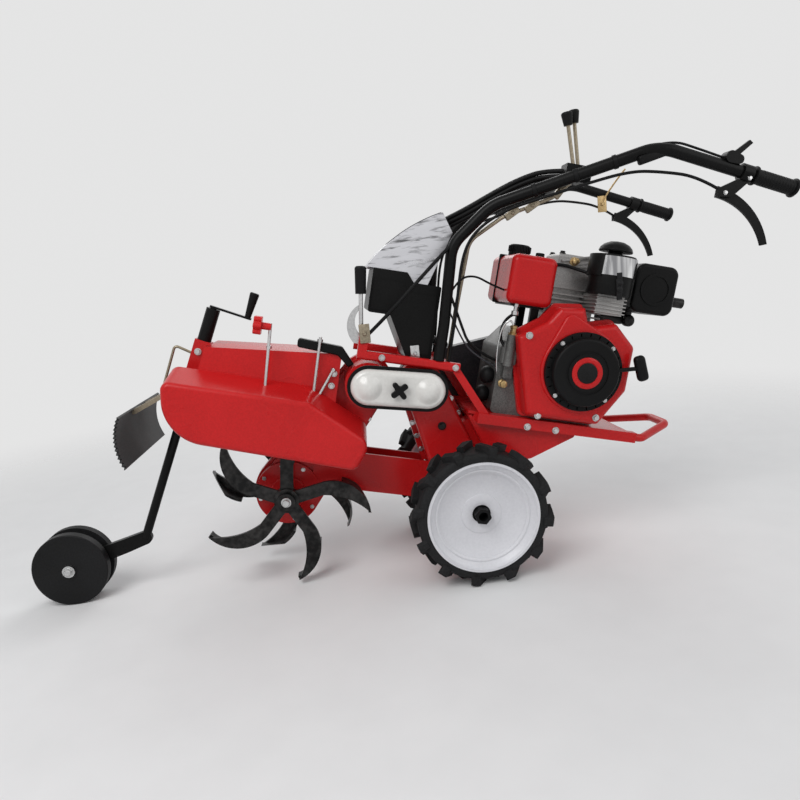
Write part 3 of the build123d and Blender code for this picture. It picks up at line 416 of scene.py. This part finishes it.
# %% Bolts of the cases and the frame
back_lip = flank(RIGHT, 62, HUB, 91, -1, (0.3, 0.42, 0.54, 0.66))
front_lip = flank(RIGHT, 62, HUB, 91, 1, (0.1, 0.24, 0.38))
place_all(bolt, "gearbox_bolts", beside("gearbox_case", back_lip + front_lip), BRIGHT, size=0.8)
rotor_ring = ring(*ROTOR, 84, 8, 20)
tool_lip = flank(LEFT, 74, ROTOR, 96, 1, (0.24, 0.36, 0.48, 0.6))
place_all(bolt, "tool_case_bolts", beside("tool_case", tool_lip + rotor_ring) + beside("tool_case", rotor_ring, 1),
          BRIGHT, size=0.6)
place_all(bolt, "case_screw", beside("gearbox_case", [(-118, 203)]), STEEL, size=1.2)
place_all(bolt, "platform_bolts", both_sides("engine_platform", [(119, 244), (205, 244)]), BRIGHT)
place_all(bolt, "frame_bolts", both_sides("top_frame", [(-118, 386), (-330, 386)]), BRIGHT, size=0.9)

# %% Bolts of the engine, the controls and the hood
place_all(bolt, "shroud_bolts", beside("fan_shroud", [(68, 507), (134, 285), (304, 301)]), BRIGHT)
place_all(bolt, "starter_bolts", beside("recoil_starter", ring(*STARTER, 104, 4, 47)), BRIGHT, size=0.62)
place_all(bolt, "guard_bolts", beside("belt_guard", ring(*STARTER, 62, 4, 20) + ring(*RIGHT, 40, 3, 90)
          + [(22, 370)], 1), BRIGHT)
place_all(bolt, "block_bolts", beside("engine_block", ring(250, 440, 70, 5, 10), 1), STEEL)
place_all(bolt, "lever_bolts", beside("lever_clamps", [(470, 943), (520, 986)])
          + beside("lever_clamps", [(470, 943)], 1), BRIGHT, size=0.55)
place_all(bolt, "hood_bolts", beside("hood_box", [(-455, 318), (-458, 282)]), BRIGHT, size=0.9)
place_all(bolt, "socket_bolts", beside("column_socket", [(-853, 318)]), BRIGHT)
place_all(bolt, "head_bolts", atop("cylinder", [(172, -38), (272, -38), (172, 54), (272, 54)]), STEEL, size=0.9)

# %% Bolts that turn with the rotor and the gauge wheels
place_all(bolt, "rotor_bolts", beside("tine_set_near", [ROTOR]) + beside("tine_set_far", [ROTOR], 1), BRIGHT,
          "rotor", 1.4)
place_all(bolt, "gauge_bolts", both_sides("gauge_axle", [GAUGE]), BRIGHT, "gauge_pair", 1.3)

# %% [markdown]
# ## Domes of the drive cover
# The pressed cover of the final drive swells out over the two shaft ends. A half sphere would be too tall; turned
# rings give the shallow dome its true, soft edge, and they swallow the plain cones of the solid.

# %% Domes
dome = turned([(38, -0.4), (34, 1.0), (29, 4.0), (23, 8.0), (16, 11.4), (9, 13.4), (2, 14.0)], 48)
COVER_FACE, SEAL_FACE = -190, -164
place_all(dome, "cover_domes", [seat(x, COVER_FACE, z) for x, z in (LEFT, RIGHT)], CREAM)

# %% [markdown]
# ## Seal of the drive cover
# A black rubber seal shows as a thin line all round the cover. It is drawn as a circle whose right half is moved
# along to the other shaft, then extruded: the quickest way to a clean slot shape.

# %% A slot-shaped seal
fresh()
bpy.ops.mesh.primitive_circle_add(vertices=96, radius=60.5 * MM, fill_type="NGON")
seal = bpy.context.object
pick(seal, lambda spot: spot.x > 0.1 * MM)
bpy.ops.transform.translate(value=(math.dist(LEFT, RIGHT) * MM, 0, 0))
bpy.ops.mesh.select_all(action="SELECT")
bpy.ops.mesh.extrude_region_move(TRANSFORM_OT_translate={"value": (0, 0, 7 * MM)})
outward()
slope = math.atan2(RIGHT[1] - LEFT[1], RIGHT[0] - LEFT[0])
along_slot = Vector((math.cos(slope), 0, math.sin(slope)))
up_slot = Vector((-math.sin(slope), 0, math.cos(slope)))
face = Matrix((along_slot, up_slot, along_slot.cross(up_slot))).transposed().to_4x4()
seal.data.transform(upright(LEFT[0], SEAL_FACE, LEFT[1]) @ face)
settle(seal, "cover_seal", PLASTIC)

# %% [markdown]
# ## Starter plate
# The middle of the recoil starter carries a plain round plate, red with a grey centre. Two turned discs, one seated
# in the other, keep the colours apart without a mask.

# %% Plate and centre
plate = turned([(44, -1), (44, 1.4), (42.5, 2.4), (31, 2.4), (30, 1.2), (3, 1.2)], 48)
on_starter = [seat(STARTER[0], -238, STARTER[1])]
place_all(plate, "starter_plate", on_starter, RED)
centre = turned([(29, 0.5), (29, 2.2), (27, 3.2), (4, 3.6)], 48)
place_all(centre, "starter_centre", on_starter, GREY)

# %% [markdown]
# ## Steps of the wheel discs
# The discs are pressed with a fine step inside the rim and a flat boss around the hub. Each is a thin outline spun
# once round; it is painted with the disc and rides on its wheel.

# %% Step and boss, for each wheel
step = spun([(124, -3), (133, 3), (134, 6), (130, 6.5), (124, 2.5)])
boss = spun([(26, -1), (58, -1), (56, 2), (50, 3), (30, 3), (26, 2)])
for side, word in ((-1, "near"), (1, "far")):
    place_all(step, "wheel_step_" + word, [seat(0, side * 274.5, 0, (0, side, 0))], WHITE, "wheel_" + word)
    place_all(boss, "wheel_boss_" + word, [seat(0, side * 258, 0, (0, side, 0))], WHITE, "wheel_" + word)

# %% [markdown]
# ## Ribbed grips and tube bands
# The rubber grips have rings for the fingers, and plastic bands hold the cables to the tubes. A ring is a very short
# turning; a row of them along the tube does for both.

# %% Rings along the handlebar
def along(start, end, spots, side):
    """Seats on the line between two points of the level machine, spots in millimetres back from the end."""
    start, end = (Vector((x, side * y, z)) for x, y, z in (start, end))
    way = (end - start).normalized()
    return [seat(*(end - way * spot), facing=way) for spot in spots]


# The near tube's bend, its end at the grip, and a point low on it.
BEND, END, LOW = (275, -318, 1026), (660, -322, 984), (-95, -178, 838)
rib = turned([(18.6, -3), (19.7, -1.6), (19.7, 1.6), (18.6, 3)], 28)
lip = turned([(18.6, -4), (24, -2.5), (24.5, 0), (24, 2.5), (18.6, 4)], 28)
band = turned([(15.8, -6), (18.2, -5), (18.2, 5), (15.8, 6)], 28)
for side, word in ((1, "near"), (-1, "far")):
    place_all(rib, "grip_ribs_" + word, along(BEND, END, range(12, 108, 8), side), PLASTIC)
    place_all(lip, "grip_lip_" + word, along(BEND, END, [121, 7], side), PLASTIC)
    place_all(band, "tube_bands_" + word, along(LOW, BEND, (110, 210, 320), side), PLASTIC)

# %% [markdown]
# ## Rubber flap
# A curved rubber sheet hangs at the tine end and stops thrown soil; its near edge is cut in teeth. A grid is laid
# along the arc of the solid, every second point of the near edge is drawn in, and a solidify modifier gives the
# sheet its thickness. It takes the place of the plain solid.

# %% A toothed sheet
def arc_point(a, b, c, share):
    """A point on the circle through three (x, z) points."""
    twice = 2 * (a[0] * (b[1] - c[1]) + b[0] * (c[1] - a[1]) + c[0] * (a[1] - b[1]))
    squares = [p[0] ** 2 + p[1] ** 2 for p in (a, b, c)]
    x = (squares[0] * (b[1] - c[1]) + squares[1] * (c[1] - a[1]) + squares[2] * (a[1] - b[1])) / twice
    z = (squares[0] * (c[0] - b[0]) + squares[1] * (a[0] - c[0]) + squares[2] * (b[0] - a[0])) / twice
    start, end = (math.atan2(p[1] - z, p[0] - x) % math.tau for p in (a, c))
    radius = math.dist((x, z), a)
    turn = start + (end - start) * share
    return x + radius * math.cos(turn), z + radius * math.sin(turn)


def walled(piece, thickness):
    """An open sheet gets its thickness."""
    wall = piece.modifiers.new("wall", "SOLIDIFY")
    wall.thickness, wall.offset = thickness * MM, 0
    bpy.ops.object.modifier_apply(modifier="wall")


fresh()
ROWS, HALF_WIDTH, TOOTH = 26, 212, 13
bpy.ops.mesh.primitive_grid_add(x_subdivisions=ROWS, y_subdivisions=20, size=2)
sheet = bpy.context.object
for vertex in sheet.data.vertices:
    share, across = (vertex.co.x + 1) / 2, vertex.co.y
    x, z = arc_point((-1011, 137), (-1016, 93), (-980, -2), share)
    notched = across < -0.99 and round(share * ROWS) % 2
    vertex.co = at(x + 3, across * HALF_WIDTH + (TOOTH if notched else 0), z)
walled(sheet, 6)
settle(sheet, "flap_rubber", FLAP)
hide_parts("flap")

# %% [markdown]
# ## Fittings of the engine
# The air cleaner is a canister with a rain cap on a thin neck; one turning gives all of it and takes the place of the
# plainer solid. Around it sit ribs and an injector on the head, fins on the intake, a nut on the exhaust elbow, a
# sleeve and a latch. Round ones are turned, flat ones pressed. The lines are curves with a round section, made into
# meshes.

# %% Air cleaner in one turning
CLEANER = (286, -150)
cleaner = turned([(60, 650), (62, 653), (62, 757), (59, 761.5), (22, 763), (20, 766), (20, 771), (46, 772),
                  (47.5, 775), (44, 784), (35, 793), (21, 799.5), (4, 802)], 56)
cleaner.data.transform(upright(*CLEANER, 0))
settle(cleaner, "cleaner_canister", BLACK)
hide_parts("air_cleaner")

# %% Fittings of the head and the exhaust
injector = turned([(13, -2), (13, 6), (8, 7), (8, 16), (10, 17), (10, 24), (5, 27)], 24)
place_all(injector, "injector", beside("cylinder", [(205, 737)]), BRASS)
nut = turned([(18, -4), (18, 12), (15, 17), (9, 19), (3, 19.4)], 24)
place_all(nut, "elbow_nut", [seat(404, -54, 590)], STEEL)
fin = pressed((92, 124, 3.4), 1.2)
place_all(fin, "intake_fins", [upright(290, -115, z) for z in (602, 612, 622, 632, 642)], ALLOY)
rib_head = pressed((112, 9, 5), 1.6)
place_all(rib_head, "head_ribs", [seat(222, -54, z) for z in (722, 730.5, 748)], ALLOY)

# %% Fittings of the air cleaner and the tank
sleeve = spun([(64, -30), (67.5, -30), (68, -28), (68, 28), (67.5, 30), (64, 30)], 224, 84, 24)
place_all(sleeve, "cleaner_sleeve", [upright(*CLEANER, 730)], BLACK)
latch = join([pressed((15, 58, 6), 2), turned([(8, 1), (8, 5), (5, 8), (2, 9)], 20)])
place_all(latch, "cleaner_latch", [seat(288, -214, 685), seat(288, -216, 668)], GREY)
strap = pressed((139, 12, 146), 5)
place_all(strap, "tank_strap", [upright(64.5, 10, 659)], BLACK)
ridge = pressed((4, 18, 5), 1.4)
RIDGES, CAP = 22, (40, -40)
ways = [(math.cos(math.tau * i / RIDGES), math.sin(math.tau * i / RIDGES), 0) for i in range(RIDGES)]
place_all(ridge, "cap_ridges", [seat(CAP[0] + 31 * way[0], CAP[1] + 31 * way[1], 748, way) for way in ways], PLASTIC)


# %% Fuel, feed and injection lines
def hose(points, radius):
    """A smooth round line between points of the level machine."""
    curve = bpy.data.curves.new("hose", "CURVE")
    curve.dimensions, curve.use_fill_caps = "3D", True
    curve.bevel_depth, curve.bevel_resolution = radius * MM, 4
    line = curve.splines.new("NURBS")
    line.points.add(len(points) - 1)
    for point, spot in zip(line.points, points):
        point.co = (*at(*spot), 1)
    line.use_endpoint_u, line.order_u, line.resolution_u = True, 3, 8
    piece = bpy.data.objects.new("hose", curve)
    scene.collection.objects.link(piece)
    only(piece)
    bpy.ops.object.convert(target="MESH")
    bpy.ops.object.mode_set(mode="EDIT")
    bpy.ops.mesh.select_all(action="SELECT")
    bpy.ops.mesh.remove_doubles(threshold=0.01 * MM)
    return outward()


settle(hose([(128, -74, 716), (158, -74, 722), (200, -86, 716), (240, -122, 704)], 5), "fuel_line", PLASTIC)
settle(hose([(40, -104, 560), (18, -108, 548), (4, -112, 508), (8, -128, 470), (32, -142, 452)], 4.5), "feed_line",
       PLASTIC)
settle(hose([(-172, -150, 560), (-112, -104, 476), (-60, -96, 424), (14, -98, 400)], 2.5), "stop_wire", SLATE)
settle(hose([(34, -142, 520), (26, -142, 548), (0, -132, 520), (0, -126, 430), (16, -112, 378)], 3), "injection_pipe",
       BRIGHT)

# %% [markdown]
# ## Pump side of the engine
# The tap under the tank, the injection pump's unions and two rubber boots crowd the side of the block. They are
# short turnings, each facing the way its part points.

# %% Tap, unions and boots
tap = turned([(10, -4), (10, 8), (6, 9), (6, 20), (11, 21), (11, 32), (5, 36)], 24)
place_all(tap, "fuel_tap", [seat(40, -104, 589, (0, 0, -1))], BRIGHT)
union = turned([(13, -4), (13, 5), (9, 7), (9, 18), (11, 19), (11, 26), (4, 29)], 6)
place_all(union, "pump_unions", [seat(34, -142, 500, (0, 0, 1)), seat(33, -118, 356)], BRASS)
boot = turned([(13, -3), (21, 5), (26, 15), (27, 22), (22, 32), (12, 38), (4, 40)], 32)
place_all(boot, "governor_boot", [seat(12, -84, 372, (-1, 0, 0)), seat(12, -60, 312, (-1, 0, 0))], PLASTIC)

# %% [markdown]
# ## Starter grip
# The pull handle is a moulded grip on a short cord, rounded to fit the palm. A block with a wide bevel makes the
# grip, and its ends are drawn in a little by a resize about its palm side. It takes the place of the square solid.

# %% A palm-shaped grip
grip = pressed((39, 74, 30), 13, 5)
pick(grip, lambda spot: abs(spot.y) > 20 * MM)
bpy.ops.transform.resize(value=(0.82, 1, 0.86), center_override=(-4 * MM, 0, 0))
bpy.ops.object.mode_set(mode="OBJECT")
grip.data.transform(seat(394, -224, 462, turn=10))
grip = join([grip, hose([(324, -224, 446), (366, -224, 456), (394, -224, 462)], 6)])
settle(grip, "starter_grip", PLASTIC)
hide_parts("pull_handle")

# %% [markdown]
# ## Control cables
# A cable lies in long easy curves from its lever to the part it works, with both ends held. Swept smooth lines do
# that better than the solid's straight runs, so they take its place; the far clutch cable mirrors the near one.

# %% Five held cables
clutch = [(462, -322, 946), (392, -318, 972), (300, -308, 970), (220, -298, 960), (112, -272, 912), (20, -238, 868),
          (-66, -206, 826), (-134, -192, 762), (-156, -186, 690), (-146, -172, 560), (-138, -145, 440),
          (-138, -145, 386)]
runs = [hose(clutch, 4), hose([(x, -y, z) for x, y, z in clutch], 4),
        hose([(-184, -165, 722), (-222, -198, 676), (-336, -178, 500), (-387, -145, 430)], 5),
        hose([(-172, -150, 572), (-150, -140, 630), (-100, -118, 652), (-36, -100, 630), (14, -100, 620)], 3),
        hose([(-176, -155, 606), (-130, -165, 520), (-80, -142, 440), (34, -100, 412)], 4)]
cable_runs = settle(join(runs), "cable_runs", PLASTIC)
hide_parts("control_cables")

# %% [markdown]
# ## Brackets and linkage
# The top of the cowl is darker: a thin dark sheet, a grid dropped onto it by rays, with a ragged lower edge. Small
# plated brackets tie the levers, the console and the cables together. Each is a rounded plate with a bolt through it,
# seated on the part that carries it. The wide bundle over the cowl is five hoses laid together.

# %% Dark top skin of the cowl
fresh()
bpy.ops.mesh.primitive_grid_add(x_subdivisions=40, y_subdivisions=16, size=2)
film = bpy.context.object
FILM_START, FILM_LENGTH, FILM_HALF, RAGGED = -338, 120, 106, 14
for vertex in film.data.vertices:
    across = vertex.co.y * FILM_HALF
    x = FILM_START + (vertex.co.x + 1) / 2 * FILM_LENGTH
    if vertex.co.x < -0.9:
        x += RAGGED * math.sin(across * 0.31) * math.cos(across * 0.13)
    spot = shot("console_cowl", (x, across, TOP_START), (x, across, 0))
    vertex.co = at(spot.x, spot.y, spot.z + 1.2)
walled(film, 2)
settle(film, "cowl_top", SLATE)

# %% Plates with bolts
plate_small = join([pressed((26, 46, 5), 1.6), turned([(6, 1), (6, 6), (4, 8)], 6)])
place_all(plate_small, "cable_anchor", [seat(397, 304, 978)], BRASS, size=1.2)
place_all(plate_small, "console_bracket", [seat(-234, -121, 408)], BRIGHT)
place_all(plate_small, "lever_clevis", [seat(-387, -160, 446)], BRONZE, size=1.15)
settle(hose([(397, 303, 985), (408, 292, 1030), (434, 252, 1094)], 3), "anchor_rod", BRASS)
clevis = join([pressed((44, 19, 15), 3), turned([(5, 5), (5, 11), (3, 13)], 6)])
place_all(clevis, "link_clevises", [seat(10, -197, 851, turn=30), seat(76, -206, 899, turn=47),
                                    seat(-38, -185, 825, turn=30)], BRONZE)

# %% Hoses, throttle cable and its guide
for number, (dy, dz) in enumerate(((0, 0), (15, 2), (0, -14), (15, -13), (6, -27))):
    settle(hose([(-205, dy - 22, dz + 790), (-150, dy - 60, dz + 826), (-75, dy - 104, dz + 886),
                 (-18, dy - 140, dz + 926), (44, dy - 165, dz + 956), (110, dy - 205, dz + 956)], 6.5),
           "cable_bundle_" + str(number + 1), PLASTIC)
settle(hose([(216, -296, 1004), (290, -318, 1048), (390, -320, 1036), (486, -320, 1022)], 3.2), "throttle_cable",
       PLASTIC)
guide = pressed((74, 22, 22), 6, 4)
place_all(guide, "cable_guide", [seat(262, -314, 1000, turn=14)], PLASTIC)

# %% [markdown]
# ## Floor, light and camera
# A product photo is taken on a pale sweep of paper under big soft lamps. The floor is a wide disc that fades out at
# its rim, so it has no edge against the background. Three area lamps shape the paint, and the background that the
# camera sees is set apart from the one that lights the machine. The camera stands where the photographer did.

# %% Floor
fresh()
FLOOR, FADE_FROM, FADE_TO = 4.5, 1.3, 3.8
bpy.ops.mesh.primitive_circle_add(vertices=96, radius=FLOOR, fill_type="NGON")
floor = bpy.context.object
floor.name = "floor"
paper = finish("studio floor", (0.8, 0.8, 0.8), (0.78, 0.78, 0.78), (0.8, 0.9), grain=8, bump=0.0, shine=0.1)
floor.data.materials.append(paper)
nodes, links = paper.node_tree.nodes, paper.node_tree.links
coords, reach = nodes.new("ShaderNodeTexCoord"), nodes.new("ShaderNodeVectorMath")
reach.operation = "LENGTH"
links.new(coords.outputs["Object"], reach.inputs[0])
fade = nodes.new("ShaderNodeMapRange")
set_range(fade, FADE_FROM, FADE_TO, 0, 1)
fade.interpolation_type = "SMOOTHSTEP"
links.new(reach.outputs["Value"], fade.inputs["Value"])
clear, sweep = nodes.new("ShaderNodeBsdfTransparent"), nodes.new("ShaderNodeMixShader")
links.new(fade.outputs["Result"], sweep.inputs["Fac"])
links.new(nodes["Principled BSDF"].outputs[0], sweep.inputs[1])
links.new(clear.outputs[0], sweep.inputs[2])
links.new(sweep.outputs[0], nodes["Material Output"].inputs["Surface"])
print("floor", FLOOR, "m, gone at", FADE_TO)

# %% Background
world = bpy.data.worlds.new("studio")
scene.world = world
world.use_nodes = True
nodes, links = world.node_tree.nodes, world.node_tree.links
lit = nodes["Background"]
lit.inputs["Color"].default_value = (0.92, 0.93, 0.95, 1)
lit.inputs["Strength"].default_value = 0.5
seen = nodes.new("ShaderNodeBackground")
seen.inputs["Color"].default_value = (0.78, 0.78, 0.78, 1)
path, shown = nodes.new("ShaderNodeLightPath"), nodes.new("ShaderNodeMixShader")
either, any_way = nodes.new("ShaderNodeMath"), nodes.new("ShaderNodeMath")
either.operation = any_way.operation = "MAXIMUM"
links.new(path.outputs["Is Camera Ray"], either.inputs[0])
links.new(path.outputs["Is Glossy Ray"], either.inputs[1])
links.new(either.outputs[0], any_way.inputs[0])
links.new(path.outputs["Is Transmission Ray"], any_way.inputs[1])
links.new(any_way.outputs[0], shown.inputs["Fac"])
links.new(lit.outputs[0], shown.inputs[1])
links.new(seen.outputs[0], shown.inputs[2])
links.new(shown.outputs[0], nodes["World Output"].inputs["Surface"])
print("background", seen.inputs["Color"].default_value[0])

# %% Lamps
MIDDLE = Vector((0, 0, 0.5))
for name, spot, size, power in (("key", (-1.6, -2.4, 3.2), 2.2, 76), ("fill", (2.6, -2.2, 2.0), 2.0, 16),
                                ("back", (0.6, 2.6, 2.6), 2.2, 34)):
    light = bpy.data.lights.new(name, "AREA")
    light.size, light.energy = size, power
    lamp = bpy.data.objects.new(name, light)
    scene.collection.objects.link(lamp)
    lamp.location = spot
    lamp.rotation_euler = (MIDDLE - Vector(spot)).to_track_quat("-Z", "Y").to_euler()
    print("lamp", name, power, "W")

# %% Camera
camera = bpy.data.objects.new("camera", bpy.data.cameras.new("camera"))
scene.collection.objects.link(camera)
camera.data.sensor_width, camera.data.lens = 36, 29.6
right, up = Vector((0.989823, -0.10207, -0.099161)), Vector((0.115563, 0.1699, 0.978662))
turn = Matrix((right, up, right.cross(up))).transposed().to_4x4()
camera.matrix_world = Matrix.Translation((-0.12298, -1.98575, 0.86534)) @ turn
scene.camera = camera
print("camera at", tuple(camera.location))

# %% [markdown]
# ## Clearing the bench
# The turned and pressed sources have done their work and go. The dressed machine has to stay in the box of the solids.

# %% Sources out
for source in (bolt, dome, plate, centre, step, boss, rib, lip, band, injector, nut, fin, rib_head, sleeve, latch,
               strap, ridge, tap, union, boot, plate_small, clevis, guide):
    bpy.data.objects.remove(source)
